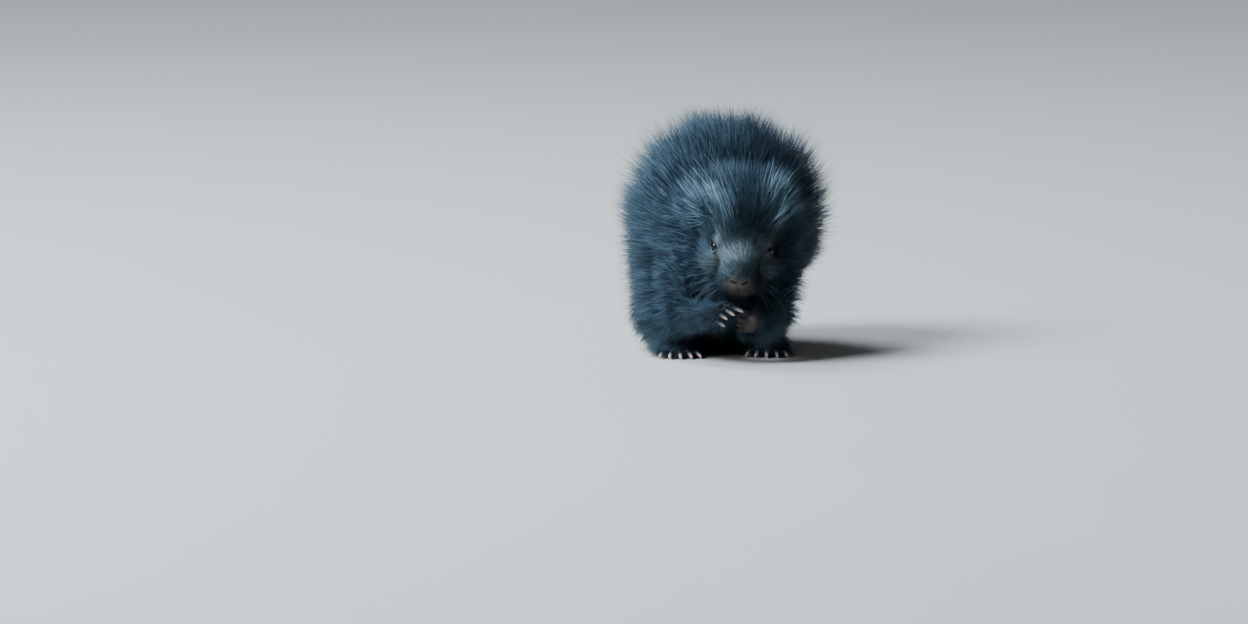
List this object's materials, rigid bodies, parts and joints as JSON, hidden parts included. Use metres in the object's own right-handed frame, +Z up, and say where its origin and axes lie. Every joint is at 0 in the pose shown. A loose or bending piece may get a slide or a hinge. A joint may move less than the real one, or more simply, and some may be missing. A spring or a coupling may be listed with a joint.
{
  "type": "porcupine",
  "caption": "Young porcupine, a still life-size model, sitting hunched on the floor with its head bowed and both forepaws raised to its mouth.",
  "frame": {"origin": "middle of the box of the whole animal, on the floor it sits on", "axes": "+Z up, the animal faces -Y and its right side is at -X"},
  "size_m": [0.22, 0.332, 0.2445],
  "materials": {
    "coat": "long soft blue-black hair with pale tips, half matt with a cool sheen",
    "face": "short velvet hair, dark grey, brown on the muzzle",
    "paw": "bare pebbled skin, dark red-brown, slightly moist",
    "claw": "horn, dark at the root and pale at the tip, satin",
    "eye": "wet black gloss"
  },
  "bodies": {
    "root": {"torso": "coat", "neck": "coat", "tail": "coat", "foreleg_right": "coat", "foreleg_left": "coat", "hind_leg_right": "coat", "hind_leg_left": "coat", "head": "face", "ear_right": "face", "ear_left": "face", "forepaw_right": "paw", "forepaw_left": "paw", "hind_foot_right": "paw", "hind_foot_left": "paw", "eye_right": "eye", "eye_left": "eye", "claw_fore_right_1": "claw", "claw_fore_right_2": "claw", "claw_fore_right_3": "claw", "claw_fore_right_4": "claw", "claw_fore_left_1": "claw", "claw_fore_left_2": "claw", "claw_fore_left_3": "claw", "claw_fore_left_4": "claw", "claw_hind_right_1": "claw", "claw_hind_right_2": "claw", "claw_hind_right_3": "claw", "claw_hind_right_4": "claw", "claw_hind_right_5": "claw", "claw_hind_left_1": "claw", "claw_hind_left_2": "claw", "claw_hind_left_3": "claw", "claw_hind_left_4": "claw", "claw_hind_left_5": "claw"}
  },
  "joints": []
}
